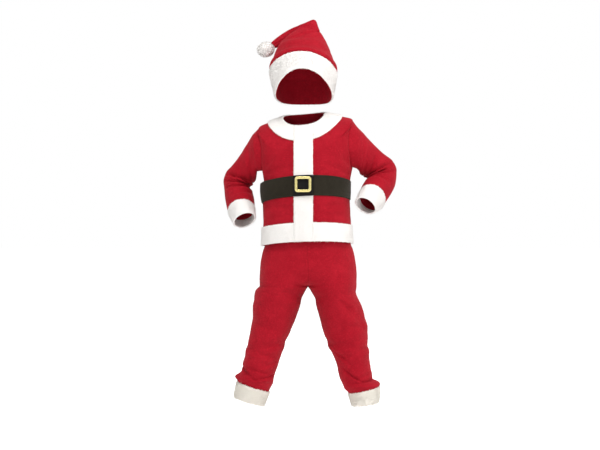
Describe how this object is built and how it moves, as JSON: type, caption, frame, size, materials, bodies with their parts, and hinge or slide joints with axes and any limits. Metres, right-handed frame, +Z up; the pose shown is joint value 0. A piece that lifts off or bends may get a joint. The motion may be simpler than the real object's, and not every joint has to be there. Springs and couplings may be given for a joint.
{
  "type": "santa suit",
  "caption": "Child's santa suit as worn: fleece jacket with plush trims and belt, trousers with furry cuffs, and a pointed hat with a pompom.",
  "frame": {"origin": "centre of the neck opening of the jacket", "axes": "+Z up, -Y the front of the suit, +X towards the wearer's left"},
  "size_m": [0.4631, 0.2039, 1.0242],
  "materials": {
    "red_fleece": "soft short-napped polyester fleece",
    "white_plush": "short white plush pile",
    "cream_fur": "longer off-white pile",
    "black_felt": "black-brown felt",
    "tab_felt": "black felt",
    "gold_plastic": "glossy gold-coloured plastic"
  },
  "bodies": {
    "root": {"jacket_front_left": "red_fleece", "jacket_front_right": "red_fleece", "jacket_back": "red_fleece", "sleeve_left": "red_fleece", "sleeve_right": "red_fleece", "trousers_front_left": "red_fleece", "trousers_front_right": "red_fleece", "trousers_back_left": "red_fleece", "trousers_back_right": "red_fleece", "waistband": "red_fleece", "hat_crown": "red_fleece", "collar": "white_plush", "placket": "white_plush", "hem_band": "white_plush", "sleeve_cuff_left": "white_plush", "sleeve_cuff_right": "white_plush", "hat_brim": "white_plush", "pompom": "white_plush", "leg_cuff_left": "cream_fur", "leg_cuff_right": "cream_fur", "belt": "black_felt", "belt_tab": "tab_felt", "buckle": "gold_plastic"}
  },
  "joints": []
}
